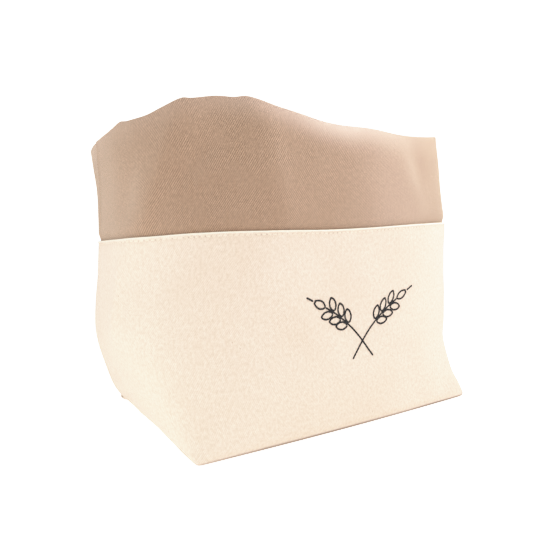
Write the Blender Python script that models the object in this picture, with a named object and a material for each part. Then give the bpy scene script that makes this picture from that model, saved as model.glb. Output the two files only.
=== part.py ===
# Cloth bread bag with a boxed base, standing open.
# The lower body is undyed cream twill and the upper band is doubled beige twill.
# Metres, +Z up. The origin is the middle of the base, and the long front face looks towards -Y.

import math
from bisect import bisect_right
from collections import namedtuple

import bmesh
import bpy
import numpy

MM = 0.001

# Driving sizes
BASE_WIDTH = 200 * MM         # along X, between the boxed corners
BASE_DEPTH = 156 * MM         # along Y
CREAM_THICKNESS = 1.2 * MM
BAND_THICKNESS = 2.0 * MM     # the band is doubled cloth
PIECE_GAP = 0.4 * MM          # air between sewn pieces
LAP = 10 * MM                 # how far the band runs down inside the cream edge
LAP_EASE = 6 * MM             # height over which the band swells out above that edge

# Relief of the cloth
FRONT_BOW = 2.2 * MM          # the long bottom edges bow out
END_BOW = -4.0 * MM           # the short bottom edges draw in
END_SWAY = 2.0 * MM           # and more so in their back half
BOW_HEIGHT = 14 * MM          # the bow dies out over this height
SEAM_FADE = 14 * MM           # folds die out this close to a side seam
FLOOR_FADE = 12 * MM          # and this close to the floor

# Cloth grid
END_COLUMNS = 8               # side seam to base corner
FACE_COLUMNS = 22             # base corner to base corner
BAND_ROWS = (0.0, 0.07, 0.14, 0.20, 0.28, 0.38, 0.50, 0.62, 0.74, 0.86, 0.94, 1.0)
CREAM_ROWS = (0.0, 0.016, 0.05, 0.10, 0.16, 0.24, 0.34, 0.46, 0.58, 0.70, 0.81, 0.91, 1.0)
RING_STEPS = 240

HALF_GIRTH = BASE_WIDTH + BASE_DEPTH

# Level sections, in millimetres: how far the cloth reaches from the middle of the base at each height,
# and how round its corners are, from 0 for square to 1 for an ellipse.
Section = namedtuple("Section", "height left right face left_round right_round")
SECTIONS = (
    Section(0, 101.2, 101.4, 78.2, 0.03, 0.03),
    Section(2, 102.4, 102.5, 79.3, 0.03, 0.035),
    Section(8, 106.4, 106.2, 83.0, 0.19, 0.20),
    Section(20, 114.5, 112.3, 85.5, 0.39, 0.46),
    Section(40, 122.6, 118.0, 87.0, 0.53, 0.67),
    Section(56, 127.2, 120.8, 87.0, 0.60, 0.69),
    Section(70, 128.8, 122.9, 87.0, 0.65, 0.71),
    Section(100, 125.6, 125.8, 88.0, 0.72, 0.74),
    Section(123, 123.9, 126.6, 89.5, 0.73, 0.75),
    Section(150, 122.6, 125.9, 91.5, 0.77, 0.81),
    Section(175, 125.0, 125.0, 92.5, 0.80, 0.85),
    Section(197, 127.4, 124.5, 93.0, 0.84, 0.87),
)

# Height of the rim and of the cream edge along each side, in millimetres.
# Place runs from the left side seam round to the right one.
Edge = namedtuple("Edge", "place front_rim back_rim front_seam back_seam")
EDGES = (
    Edge(0, 182.4, 182.4, 122.2, 122.2),
    Edge(20, 183.8, 182.2, 122.2, 122.4),
    Edge(30, 185.8, 183.0, 122.2, 122.5),
    Edge(38, 188.0, 184.0, 122.2, 122.6),
    Edge(44, 187.2, 185.2, 122.3, 122.7),
    Edge(58, 187.8, 187.5, 122.4, 122.8),
    Edge(70, 191.8, 189.5, 122.7, 122.8),
    Edge(80, 195.2, 190.5, 122.9, 122.8),
    Edge(85, 194.7, 190.8, 122.9, 122.7),
    Edge(98, 194.9, 191.0, 122.9, 122.4),
    Edge(108, 193.8, 190.2, 122.7, 122.2),
    Edge(116, 194.2, 189.0, 122.5, 122.0),
    Edge(135, 188.5, 186.0, 122.1, 121.8),
    Edge(160, 182.3, 182.5, 121.5, 121.8),
    Edge(190, 180.2, 180.5, 121.7, 122.2),
    Edge(225, 178.7, 181.0, 122.7, 122.6),
    Edge(245, 179.3, 183.5, 123.1, 122.8),
    Edge(268, 182.8, 186.8, 123.6, 123.0),
    Edge(284, 184.9, 187.8, 123.6, 123.1),
    Edge(300, 184.7, 188.0, 123.6, 123.2),
    Edge(325, 184.0, 185.5, 123.4, 123.3),
    Edge(356, 183.5, 183.5, 123.3, 123.3),
)

# Soft folds, in millimetres. Relief is out of the bag when positive. The sizes are the half width and
# half length at which a fold has mostly faded, and lean is how far it moves along per step of height.
Fold = namedtuple("Fold", "place height relief half_width half_length lean")
FOLDS = {
    "front": (
        Fold(66, 160, 2.4, 13, 44, 0.50),      # left edge of the corner facet
        Fold(121, 160, 2.4, 15, 44, -0.20),    # right edge of the corner facet
        Fold(94, 168, -2.6, 20, 40, 0.15),     # flat of the facet between them
        Fold(50, 140, 1.0, 9, 24, 0.20),       # short ridge above the seam at the left
        Fold(238, 164, -1.7, 14, 16, 0.0),     # dimple by the right corner
        Fold(226, 148, 1.0, 11, 20, -0.35),    # ridge running down from it
        Fold(28, 92, 1.6, 8, 28, 0.20),        # upright ridge on the left end
        Fold(136, 80, 1.6, 14, 40, -0.86),     # long diagonal ridge across the front
        Fold(160, 96, -1.2, 16, 24, -0.60),    # shallow hollow beside it
        Fold(92, 20, -1.4, 9, 18, -0.20),      # hollow beside the near corner
        Fold(258, 14, -1.6, 8, 12, 0.20),      # hollow beside the right corner
        Fold(318, 70, 1.4, 14, 30, 0.20),      # ridge on the right end
    ),
    "back": (
        Fold(70, 158, 2.0, 14, 40, 0.35),
        Fold(112, 160, 1.8, 15, 40, -0.25),
        Fold(92, 166, -2.0, 20, 36, 0.0),
        Fold(250, 158, 2.0, 14, 38, 0.30),
        Fold(292, 160, 1.6, 15, 36, -0.20),
        Fold(270, 168, -2.0, 18, 34, 0.0),
        Fold(176, 70, 1.5, 16, 38, 0.70),
        Fold(206, 88, -1.3, 16, 26, 0.50),
        Fold(60, 60, 1.3, 11, 30, -0.15),
        Fold(98, 18, -1.3, 9, 16, 0.20),
        Fold(262, 18, -1.3, 9, 16, -0.20),
    ),
}

CREAM_COLOUR = (0.82, 0.72, 0.58, 1.0)
TAN_COLOUR = (0.45, 0.30, 0.20, 1.0)
CLOTH_ROUGHNESS = 0.9


def clear_scene():
    for thing in list(bpy.data.objects):
        bpy.data.objects.remove(thing, do_unlink=True)


def smooth_value(places, values, place):
    """Value at a place on the smooth curve through a short table."""
    last = len(places) - 1
    index = min(max(bisect_right(places, place) - 1, 0), last - 1)
    span = places[index + 1] - places[index]

    def slope(at):
        low, high = max(at - 1, 0), min(at + 1, last)
        return (values[high] - values[low]) / (places[high] - places[low]) * span

    t = min(max((place - places[index]) / span, 0.0), 1.0)
    start, end = values[index], values[index + 1]
    return ((2 * t**3 - 3 * t**2 + 1) * start + (t**3 - 2 * t**2 + t) * slope(index)
            + (3 * t**2 - 2 * t**3) * end + (t**3 - t**2) * slope(index + 1))


def ease(t):
    """Smooth step from 0 to 1."""
    t = min(max(t, 0.0), 1.0)
    return t * t * (3 - 2 * t)


def table_value(rows, key, column, at):
    places = [getattr(row, key) * MM for row in rows]
    values = [getattr(row, column) for row in rows]
    return smooth_value(places, values, at)


def edge_height(kind, side, place):
    """Height of the rim or of the seam at a place along one side."""
    return table_value(EDGES, "place", f"{side}_{kind}", place) * MM


def half_ring(height):
    """Level outline from the left side seam round to the right one, as X, depth and run along it."""
    left, right, face, left_round, right_round = (
        table_value(SECTIONS, "height", name, height)
        for name in ("left", "right", "face", "left_round", "right_round")
    )
    turn = numpy.linspace(0.0, math.pi / 2, RING_STEPS)
    cosine = numpy.cos(turn)
    sine = numpy.sin(turn)

    def quadrant(reach, roundness):
        power = 2 / roundness
        radius = ((cosine / reach) ** power + (sine / face) ** power) ** (-1 / power)
        return radius * cosine * MM, radius * sine * MM

    left_x, left_depth = quadrant(left, left_round)
    right_x, right_depth = quadrant(right, right_round)
    x = numpy.concatenate([-left_x, right_x[::-1][1:]])
    depth = numpy.concatenate([left_depth, right_depth[::-1][1:]])
    run = numpy.concatenate([[0.0], numpy.cumsum(numpy.hypot(numpy.diff(x), numpy.diff(depth)))])
    return x, depth, run


def bottom_bow(side, place, height):
    """The long bottom edges bow out and the short ones draw in."""
    corner = BASE_DEPTH / 2
    fade = 1 - ease(height / BOW_HEIGHT)
    if place < corner or place > corner + BASE_WIDTH:
        turn = math.pi / 2 * min(place, HALF_GIRTH - place) / corner
        sway = END_SWAY if side == "front" else -END_SWAY
        return fade * (END_BOW * math.cos(turn) + sway * math.sin(2 * turn))
    return FRONT_BOW * fade * math.sin(math.pi * (place - corner) / BASE_WIDTH)


def fold_relief(side, place, height):
    """Sum of the soft folds of one side."""
    total = 0.0
    for fold in FOLDS[side]:
        rise = height - fold.height * MM
        across = (place - fold.place * MM - fold.lean * rise) / (fold.half_width * MM)
        along = rise / (fold.half_length * MM)
        total += fold.relief * MM * math.exp(-across**2 - along**2)
    from_seam = min(place, HALF_GIRTH - place)
    return total * ease(from_seam / SEAM_FADE) * ease(height / FLOOR_FADE)


def wall_point(side, place, height, inset=0.0):
    """Point on the outer face of the bag's wall, or a little inside it."""
    x, depth, run = half_ring(height)
    at = place / HALF_GIRTH * run[-1]
    point_x, point_depth = numpy.interp(at, run, x), numpy.interp(at, run, depth)
    low, high = max(at - 2 * MM, 0.0), min(at + 2 * MM, run[-1])
    along_x = numpy.interp(high, run, x) - numpy.interp(low, run, x)
    along_depth = numpy.interp(high, run, depth) - numpy.interp(low, run, depth)
    length = math.hypot(along_x, along_depth)
    out_x, out_depth = -along_depth / length, along_x / length
    push = bottom_bow(side, place, height) + fold_relief(side, place, height) - inset
    facing = -1 if side == "front" else 1
    return (point_x + out_x * push, facing * (point_depth + out_depth * push), height)


def column_places():
    """Places of the cloth grid's columns, with one on each base corner."""
    corner = BASE_DEPTH / 2
    left_end = [corner * step / END_COLUMNS for step in range(END_COLUMNS)]
    face = [corner + BASE_WIDTH * step / FACE_COLUMNS for step in range(FACE_COLUMNS)]
    right_end = [corner + BASE_WIDTH + corner * step / END_COLUMNS for step in range(END_COLUMNS + 1)]
    return left_end + face + right_end


def add_quads(mesh, rows, flip):
    """Faces between the rows of a grid of vertices."""
    for lower, upper in zip(rows, rows[1:]):
        for index in range(len(lower) - 1):
            corners = (lower[index], lower[index + 1], upper[index + 1], upper[index])
            mesh.faces.new(corners[::-1] if flip else corners)


def base_rows(mesh, ring):
    """Half of the base: a grid that spans from the bottom ring to the seam in the middle."""
    first = END_COLUMNS
    last = END_COLUMNS + FACE_COLUMNS
    front = ring[first:last + 1]
    middle = [ring[0].co.lerp(ring[-1].co, step / FACE_COLUMNS) for step in range(FACE_COLUMNS + 1)]
    rows = [front]
    for step in range(1, END_COLUMNS + 1):
        v = step / END_COLUMNS
        left, right = ring[first - step], ring[last + step]
        row = [left]
        for column in range(1, FACE_COLUMNS):
            u = column / FACE_COLUMNS
            across = left.co.lerp(right.co, u)
            along = front[column].co.lerp(middle[column], v)
            corners = front[0].co.lerp(front[-1].co, u).lerp(middle[0].lerp(middle[-1], u), v)
            row.append(mesh.verts.new(across + along - corners))
        rows.append(row + [right])
    return rows


def make_cloth(name, rows_of, thickness, material, side):
    """One sewn panel: its outer face as a grid, thickened inwards."""
    mesh = bmesh.new()
    rows_of(mesh)
    data = bpy.data.meshes.new(name)
    mesh.to_mesh(data)
    mesh.free()
    data.materials.append(material)
    panel = bpy.data.objects.new(name, data)
    bpy.context.scene.collection.objects.link(panel)
    panel.location.y = PIECE_GAP / 2 * (-1 if side == "front" else 1)
    thicken = panel.modifiers.new("Cloth thickness", "SOLIDIFY")
    thicken.thickness = thickness
    thicken.offset = -1.0
    thicken.use_even_offset = True
    data.shade_smooth()
    return panel


def make_cream_panel(side, material):
    """Front or back body panel with its half of the boxed base."""
    def rows_of(mesh):
        rows = []
        for share in CREAM_ROWS:
            points = [wall_point(side, place, share * edge_height("seam", side, place))
                      for place in column_places()]
            rows.append([mesh.verts.new(point) for point in points])
        add_quads(mesh, rows, flip=side == "back")
        add_quads(mesh, base_rows(mesh, rows[0]), flip=side == "front")

    return make_cloth(f"cream_{side}_panel", rows_of, CREAM_THICKNESS, material, side)


def make_band(side, material):
    """Doubled band, tucked inside the cream panel's folded edge."""
    def rows_of(mesh):
        rows = []
        for share in BAND_ROWS:
            points = []
            for place in column_places():
                seam = edge_height("seam", side, place)
                low = seam - LAP
                height = low + share * (edge_height("rim", side, place) - low)
                tuck = (CREAM_THICKNESS + PIECE_GAP) * (1 - ease((height - seam) / LAP_EASE))
                points.append(wall_point(side, place, height, inset=tuck))
            rows.append([mesh.verts.new(point) for point in points])
        add_quads(mesh, rows, flip=side == "back")

    return make_cloth(f"tan_band_{side}", rows_of, BAND_THICKNESS, material, side)


def make_material(name, colour):
    material = bpy.data.materials.new(name)
    material.use_nodes = True
    shader = material.node_tree.nodes["Principled BSDF"]
    shader.inputs["Base Color"].default_value = colour
    shader.inputs["Roughness"].default_value = CLOTH_ROUGHNESS
    shader.inputs["Metallic"].default_value = 0.0
    return material


def make_bag():
    cream = make_material("cream_twill", CREAM_COLOUR)
    tan = make_material("tan_twill", TAN_COLOUR)
    for side in ("front", "back"):
        make_cream_panel(side, cream)
        make_band(side, tan)


clear_scene()
make_bag()
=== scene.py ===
import math
import random

import bmesh
import bpy
import numpy as np
from mathutils import Matrix, Vector


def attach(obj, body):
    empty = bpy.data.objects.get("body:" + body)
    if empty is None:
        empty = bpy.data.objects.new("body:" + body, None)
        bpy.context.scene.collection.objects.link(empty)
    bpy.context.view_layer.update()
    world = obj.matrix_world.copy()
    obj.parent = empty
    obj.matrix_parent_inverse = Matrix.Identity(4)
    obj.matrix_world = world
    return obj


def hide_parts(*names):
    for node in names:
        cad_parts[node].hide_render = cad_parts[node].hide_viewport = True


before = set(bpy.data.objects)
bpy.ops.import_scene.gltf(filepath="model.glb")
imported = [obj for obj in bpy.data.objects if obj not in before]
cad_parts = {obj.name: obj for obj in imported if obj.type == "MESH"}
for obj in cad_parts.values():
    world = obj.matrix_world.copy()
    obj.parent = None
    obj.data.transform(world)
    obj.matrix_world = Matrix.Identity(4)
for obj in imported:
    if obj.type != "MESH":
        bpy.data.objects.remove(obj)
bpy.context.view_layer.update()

# Open cloth bag for bread: cream twill body with a boxed base, doubled beige band round the top.
# Everything is in metres, X along the long faces, the front face towards -Y.
mm = 0.001
bodyName = "root"
print("bag: frame loaded")


def addObject(name, data):
    thing = bpy.data.objects.new(name, data)
    bpy.context.scene.collection.objects.link(thing)
    return thing


# camera, placed where the picture was taken from
cameraPlace = {
    "position": (-0.2000, -0.3382, 0.1165),
    "turn": 29.38,        # degrees from +Y towards +X
    "down": 2.66,         # degrees below level
    "roll": -2.89,        # degrees, the top of the picture leans to the left
    "lens": 36.0,         # millimetres
    "sensor": 36.0,       # millimetres
    "nearest": 0.01,
}


def makeCamera():
    turn, down, roll = (math.radians(cameraPlace[key]) for key in ("turn", "down", "roll"))
    ahead = Vector((math.sin(turn) * math.cos(down), math.cos(turn) * math.cos(down), -math.sin(down)))
    level = Vector((math.cos(turn), -math.sin(turn), 0.0))
    upright = level.cross(ahead)
    right = level * math.cos(roll) + upright * math.sin(roll)
    up = upright * math.cos(roll) - level * math.sin(roll)
    data = bpy.data.cameras.new("viewCamera")
    data.lens = cameraPlace["lens"]
    data.sensor_width = cameraPlace["sensor"]
    data.sensor_fit = "HORIZONTAL"
    data.clip_start = cameraPlace["nearest"]
    data.dof.use_dof = False
    camera = addObject("viewCamera", data)
    aim = Matrix((right, up, -ahead)).transposed().to_4x4()
    camera.matrix_world = Matrix.Translation(cameraPlace["position"]) @ aim
    bpy.context.scene.camera = camera


# form of the bag, the same sizes as its solids apart from the gap at the sewn seams
bagForm = {
    "baseWidth": 200 * mm,
    "baseDepth": 156 * mm,
    "creamThickness": 1.2 * mm,
    "bandThickness": 2.0 * mm,    # both layers of the doubled band
    "bandLayer": 0.85 * mm,
    "pieceGap": 0.4 * mm,
    "panelGap": 0.02 * mm,        # between the sewn front and back pieces, so that no light shows
    "lap": 10 * mm,               # how far the band runs down inside the cream edge
    "lapEase": 6 * mm,
    "seamHeight": 123 * mm,       # usual height of the cream edge
    "frontBow": 2.2 * mm,
    "endBow": -4.0 * mm,
    "endSway": 2.0 * mm,
    "bowHeight": 14 * mm,
    "seamFade": 14 * mm,
    "floorFade": 12 * mm,
    # height, reach to the left, to the right, to a face, roundness of the left and right corners
    "sections": (
        (0, 101.2, 101.4, 78.2, 0.03, 0.03),
        (2, 102.4, 102.5, 79.3, 0.03, 0.035),
        (8, 106.4, 106.2, 83.0, 0.19, 0.20),
        (20, 114.5, 112.3, 85.5, 0.39, 0.46),
        (40, 122.6, 118.0, 87.0, 0.53, 0.67),
        (56, 127.2, 120.8, 87.0, 0.60, 0.69),
        (70, 128.8, 122.9, 87.0, 0.65, 0.71),
        (100, 125.6, 125.8, 88.0, 0.72, 0.74),
        (123, 123.9, 126.6, 89.5, 0.73, 0.75),
        (150, 122.6, 125.9, 91.5, 0.77, 0.81),
        (175, 125.0, 125.0, 92.5, 0.80, 0.85),
        (197, 127.4, 124.5, 93.0, 0.84, 0.87),
    ),
    # place from the left side seam, rim front and back, cream edge front and back
    "edges": (
        (0, 182.4, 182.4, 122.2, 122.2),
        (20, 183.8, 182.2, 122.2, 122.4),
        (30, 185.8, 183.0, 122.2, 122.5),
        (38, 188.0, 184.0, 122.2, 122.6),
        (44, 187.2, 185.2, 122.3, 122.7),
        (58, 187.8, 187.5, 122.4, 122.8),
        (70, 191.8, 189.5, 122.7, 122.8),
        (80, 195.2, 190.5, 122.9, 122.8),
        (85, 194.7, 190.8, 122.9, 122.7),
        (98, 194.9, 191.0, 122.9, 122.4),
        (108, 193.8, 190.2, 122.7, 122.2),
        (116, 194.2, 189.0, 122.5, 122.0),
        (135, 188.5, 186.0, 122.1, 121.8),
        (160, 182.3, 182.5, 121.5, 121.8),
        (190, 180.2, 180.5, 121.7, 122.2),
        (225, 178.7, 181.0, 122.7, 122.6),
        (245, 179.3, 183.5, 123.1, 122.8),
        (268, 182.8, 186.8, 123.6, 123.0),
        (284, 184.9, 187.8, 123.6, 123.1),
        (300, 184.7, 188.0, 123.6, 123.2),
        (325, 184.0, 185.5, 123.4, 123.3),
        (356, 183.5, 183.5, 123.3, 123.3),
    ),
}

# soft folds in millimetres: place, height, relief, half width, half length, lean along per rise
folds = {
    "front": (
        (66, 160, 2.4, 13, 44, 0.50),
        (121, 160, 2.4, 15, 44, -0.20),
        (94, 168, -2.6, 20, 40, 0.15),
        (50, 140, 1.0, 9, 24, 0.20),
        (238, 164, -1.7, 14, 16, 0.0),
        (226, 148, 1.0, 11, 20, -0.35),
        (28, 92, 1.6, 8, 28, 0.20),
        (136, 80, 1.6, 14, 40, -0.86),
        (160, 96, -1.2, 16, 24, -0.60),
        (92, 20, -1.4, 9, 18, -0.20),
        (258, 14, -1.6, 8, 12, 0.20),
        (318, 70, 1.4, 14, 30, 0.20),
    ),
    "back": (
        (70, 158, 2.0, 14, 40, 0.35),
        (112, 160, 1.8, 15, 40, -0.25),
        (92, 166, -2.0, 20, 36, 0.0),
        (250, 158, 2.0, 14, 38, 0.30),
        (292, 160, 1.6, 15, 36, -0.20),
        (270, 168, -2.0, 18, 34, 0.0),
        (176, 70, 1.5, 16, 38, 0.70),
        (206, 88, -1.3, 16, 26, 0.50),
        (60, 60, 1.3, 11, 30, -0.15),
        (98, 18, -1.3, 9, 16, 0.20),
        (262, 18, -1.3, 9, 16, -0.20),
    ),
}

halfGirth = bagForm["baseWidth"] + bagForm["baseDepth"]
cornerPlace = bagForm["baseDepth"] / 2
facing = {"front": -1.0, "back": 1.0}
otherSide = {"front": "back", "back": "front"}
edgeColumn = {"frontRim": 1, "backRim": 2, "frontSeam": 3, "backSeam": 4}


def ease(t):
    t = np.clip(t, 0.0, 1.0)
    return t * t * (3 - 2 * t)


def bell(distance, width):
    return np.exp(-(distance / width) ** 2)


def roundOff(distance, radius):
    # how far a rounded edge falls back at a distance from it
    near = np.clip(radius - distance, 0.0, radius)
    return radius - np.sqrt(np.maximum(radius**2 - near**2, 0.0))


def smoothCurve(places, values, at):
    # smooth line through a short table, read at one place or many
    places = np.asarray(places, float)
    values = np.asarray(values, float)
    last = len(places) - 1
    low = np.maximum(np.arange(last + 1) - 1, 0)
    high = np.minimum(np.arange(last + 1) + 1, last)
    slopes = (values[high] - values[low]) / (places[high] - places[low])
    k = np.clip(np.searchsorted(places, at, side="right") - 1, 0, last - 1)
    span = places[k + 1] - places[k]
    t = np.clip((at - places[k]) / span, 0.0, 1.0)
    return ((2 * t**3 - 3 * t**2 + 1) * values[k] + (t**3 - 2 * t**2 + t) * span * slopes[k]
            + (3 * t**2 - 2 * t**3) * values[k + 1] + (t**3 - t**2) * span * slopes[k + 1])


def edgeHeight(kind, place):
    # kind is frontRim, backRim, frontSeam or backSeam
    rows = np.array(bagForm["edges"])
    return smoothCurve(rows[:, 0] * mm, rows[:, edgeColumn[kind]] * mm, place)


# outwardStep is how many columns to each side the outward direction is read over
ringGrid = {"rows": 201, "columns": 1425, "turns": 360, "outwardStep": 4}


def makeRings():
    # level outlines of half the bag, one for each millimetre of height
    rows = np.array(bagForm["sections"])
    turn = np.linspace(0.0, math.pi / 2, ringGrid["turns"])
    share = np.linspace(0.0, 1.0, ringGrid["columns"])
    rings = []
    for height in np.arange(ringGrid["rows"]) * mm:
        left, right, face, leftRound, rightRound = (
            smoothCurve(rows[:, 0] * mm, rows[:, column], height) for column in range(1, 6))
        quarter = []
        for reach, roundness in ((left, leftRound), (right, rightRound)):
            power = 2 / roundness
            radius = ((np.cos(turn) / reach) ** power + (np.sin(turn) / face) ** power) ** (-1 / power)
            quarter.append((radius * np.cos(turn) * mm, radius * np.sin(turn) * mm))
        x = np.concatenate([-quarter[0][0], quarter[1][0][::-1][1:]])
        depth = np.concatenate([quarter[0][1], quarter[1][1][::-1][1:]])
        run = np.concatenate([[0.0], np.cumsum(np.hypot(np.diff(x), np.diff(depth)))])
        at = share * run[-1]
        x, depth = np.interp(at, run, x), np.interp(at, run, depth)
        ahead = np.minimum(np.arange(len(x)) + ringGrid["outwardStep"], len(x) - 1)
        behind = np.maximum(np.arange(len(x)) - ringGrid["outwardStep"], 0)
        alongX, alongDepth = x[ahead] - x[behind], depth[ahead] - depth[behind]
        length = np.hypot(alongX, alongDepth)
        rings.append(np.stack([x, depth, -alongDepth / length, alongX / length], axis=-1))
    return np.array(rings)


rings = makeRings()


def readRings(place, height):
    place, height = np.broadcast_arrays(np.asarray(place, float), np.asarray(height, float))
    row = np.clip(height / mm, 0, ringGrid["rows"] - 1.001)
    column = np.clip(place / halfGirth * (ringGrid["columns"] - 1), 0, ringGrid["columns"] - 1.001)
    r, c = row.astype(int), column.astype(int)
    u, v = (row - r)[..., None], (column - c)[..., None]
    low = rings[r, c] * (1 - v) + rings[r, c + 1] * v
    high = rings[r + 1, c] * (1 - v) + rings[r + 1, c + 1] * v
    return low * (1 - u) + high * u


def fromSeam(place):
    return np.minimum(place, halfGirth - place)


def bottomBow(side, place, height):
    fade = 1 - ease(height / bagForm["bowHeight"])
    turn = math.pi / 2 * fromSeam(place) / cornerPlace
    sway = bagForm["endSway"] * (1 if side == "front" else -1)
    end = bagForm["endBow"] * np.cos(turn) + sway * np.sin(2 * turn)
    face = bagForm["frontBow"] * np.sin(math.pi * (place - cornerPlace) / bagForm["baseWidth"])
    onEnd = fromSeam(place) < cornerPlace
    return fade * np.where(onEnd, end, face)


def foldRelief(side, place, height):
    total = 0.0
    for at, level, relief, halfWidth, halfLength, lean in folds[side]:
        rise = height - level * mm
        across = (place - at * mm - lean * rise) / (halfWidth * mm)
        total = total + relief * mm * np.exp(-across**2 - (rise / (halfLength * mm)) ** 2)
    return total * ease(fromSeam(place) / bagForm["seamFade"]) * ease(height / bagForm["floorFade"])


# smaller creases: start and end as place and height, relief, half width, all in millimetres
creases = {
    "front": (
        ((75, 186), (52, 128), 0.50, 4.0),
        ((98, 166), (80, 146), 0.90, 3.5),
        ((92, 172), (74, 152), -0.70, 5.0),
        ((122, 190), (133, 128), 0.45, 6.0),
        ((112, 150), (124, 128), -0.35, 6.0),
        ((224, 164), (238, 132), 0.25, 6.0),
        ((170, 176), (196, 140), 0.30, 8.0),
        ((105, 116), (172, 34), 0.35, 8.0),
        ((150, 104), (196, 70), -0.25, 9.0),
        ((32, 112), (24, 64), 0.40, 4.5),
        ((88, 10), (94, 46), 0.35, 4.0),
        ((62, 14), (48, 46), -0.30, 6.0),
        ((214, 12), (200, 40), -0.25, 7.0),
        ((262, 5), (252, 30), 0.30, 5.0),
    ),
    "back": (
        ((80, 186), (58, 130), 0.35, 5.0),
        ((120, 182), (136, 128), 0.30, 6.0),
        ((250, 184), (232, 132), 0.35, 5.0),
        ((290, 186), (300, 130), 0.30, 5.0),
        ((130, 110), (196, 40), 0.35, 9.0),
        ((70, 12), (56, 48), -0.30, 6.0),
        ((280, 14), (296, 52), 0.35, 6.0),
        ((52, 112), (46, 60), 0.35, 6.0),
    ),
}

creaseFade = 0.25      # share of its length over which a crease fades out at each end
unevenness = {"relief": 0.22 * mm, "waves": 16, "shortest": 22 * mm, "longest": 75 * mm, "seed": 11}


def creaseRelief(side, place, height):
    total = 0.0
    for start, end, relief, halfWidth in creases[side]:
        (aPlace, aHeight), (bPlace, bHeight) = start, end
        alongPlace, alongHeight = (bPlace - aPlace) * mm, (bHeight - aHeight) * mm
        length = math.hypot(alongPlace, alongHeight)
        offPlace, offHeight = place - aPlace * mm, height - aHeight * mm
        share = (offPlace * alongPlace + offHeight * alongHeight) / length**2
        off = (offPlace * alongHeight - offHeight * alongPlace) / length
        fade = ease(share / creaseFade + 0.5) * ease((1 - share) / creaseFade + 0.5)
        total = total + relief * mm * bell(off, halfWidth * mm) * fade
    return total


def waveRelief(side, place, height):
    # faint unevenness of hand-sewn cloth, a sum of long waves
    chance = random.Random(unevenness["seed"] + (0 if side == "front" else 1))
    total = 0.0
    for _ in range(unevenness["waves"]):
        length = chance.uniform(unevenness["shortest"], unevenness["longest"])
        heading, phase = chance.uniform(0, math.pi), chance.uniform(0, 2 * math.pi)
        run = place * math.cos(heading) + height * math.sin(heading)
        total = total + np.sin(2 * math.pi * run / length + phase)
    return total * unevenness["relief"] / math.sqrt(unevenness["waves"])


def fineRelief(side, place, height):
    fade = ease(fromSeam(place) / bagForm["seamFade"]) * ease(height / bagForm["floorFade"])
    return (creaseRelief(side, place, height) + waveRelief(side, place, height)) * fade


def wallPoint(side, place, height, inset):
    ring = readRings(place, height)
    push = bottomBow(side, place, height) + foldRelief(side, place, height) - inset
    push = push + fineRelief(side, place, height)
    x = ring[..., 0] + ring[..., 2] * push
    depth = ring[..., 1] + ring[..., 3] * push
    return np.stack([x, facing[side] * depth, height], axis=-1)


# the left side seam wanders: how far it lies towards the front, by height, in millimetres
seamWander = {
    "reach": 70 * mm,
    "line": (
        (0, 6.0), (20, 7.0), (40, 2.5), (60, -5.0), (80, -10.5), (105, -13.0), (123, -14.0),
        (138, -14.0), (150, -11.5), (162, -6.0), (174, 0.5), (184, 5.0), (192, 7.5),
    ),
}


def shiftedPlace(side, place, height):
    # place on the wall of a spot of the cloth; below zero it lies past the middle of the left end
    line = np.array(seamWander["line"]) * mm
    wander = smoothCurve(line[:, 0], line[:, 1], height) * (1 - ease(place / seamWander["reach"]))
    return place - facing[side] * wander


def onBag(side, place, height, inset=0.0):
    # points of the bag's outer face, or a little inside it, by place along the cloth from its left seam
    place, height = np.broadcast_arrays(np.asarray(place, float), np.asarray(height, float))
    inset = np.broadcast_to(inset, place.shape)
    place = shiftedPlace(side, place, height)
    points = wallPoint(side, np.maximum(place, 0.0), height, inset)
    beyond = place < 0
    if beyond.any():
        points[beyond] = wallPoint(otherSide[side], -place[beyond], height[beyond], inset[beyond])
    points[..., 1] += facing[side] * bagForm["panelGap"] / 2
    return points


def rimHeight(side, places):
    at = shiftedPlace(side, places, edgeHeight(side + "Rim", places))
    return np.where(at < 0, edgeHeight(otherSide[side] + "Rim", -at), edgeHeight(side + "Rim", at))


# cloth grids and their joining into one closed sheet
clothGrid = {
    "step": 2.0 * mm,
    # places beside a side seam and beside a base corner, in millimetres
    "nearSeam": (0.0, 0.1, 0.3, 0.6, 1.0, 1.5, 2.4, 4.0, 6.0, 7.6, 8.3, 8.8, 9.4, 10.6),
    "nearCorner": (0.7, 1.5, 2.6, 4.0),
    # heights above the floor and depths below the cream edge, in millimetres
    "nearFloor": (
        0.0, 0.12, 0.4, 0.8, 1.2, 1.6, 2.0, 2.8, 3.6, 4.4, 5.2, 6.0, 6.8, 7.6, 8.4, 9.2, 10.0, 10.8,
        11.4, 12.0, 12.6, 13.2, 13.8, 14.6,
    ),
    "nearEdge": (8.0, 6.4, 5.0, 4.0, 3.2, 2.6, 2.2, 1.8, 1.4, 1.0, 0.6),
    "roundSteps": 6,
}


def columnPlaces():
    near = [value * mm for value in clothGrid["nearSeam"]]
    corner = [value * mm for value in clothGrid["nearCorner"]]
    before = [cornerPlace - value for value in reversed(corner)]
    after = [cornerPlace + value for value in corner]
    steps = int((before[0] - near[-1]) / clothGrid["step"])
    end = list(np.linspace(near[-1], before[0], steps + 1)[1:-1])
    middle = halfGirth / 2
    steps = int((middle - after[-1]) / clothGrid["step"])
    face = list(np.linspace(after[-1], middle, steps + 1)[1:-1])
    half = near + end + before + [cornerPlace] + after + face
    return np.array(half + [middle] + [halfGirth - value for value in reversed(half)])


def patch(points, uvs, flip=False, paintedLight=0.0):
    # the last argument tells how far painted light changes the cloth's colour, from 0 to 1: the painted
    # shadow along the floor and the painted highlight on the rim
    points, uvs = np.asarray(points, float), np.asarray(uvs, float)
    return {"points": points, "uvs": uvs, "flip": flip, "paintedLight": np.broadcast_to(paintedLight, points.shape[:2])}


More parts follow.
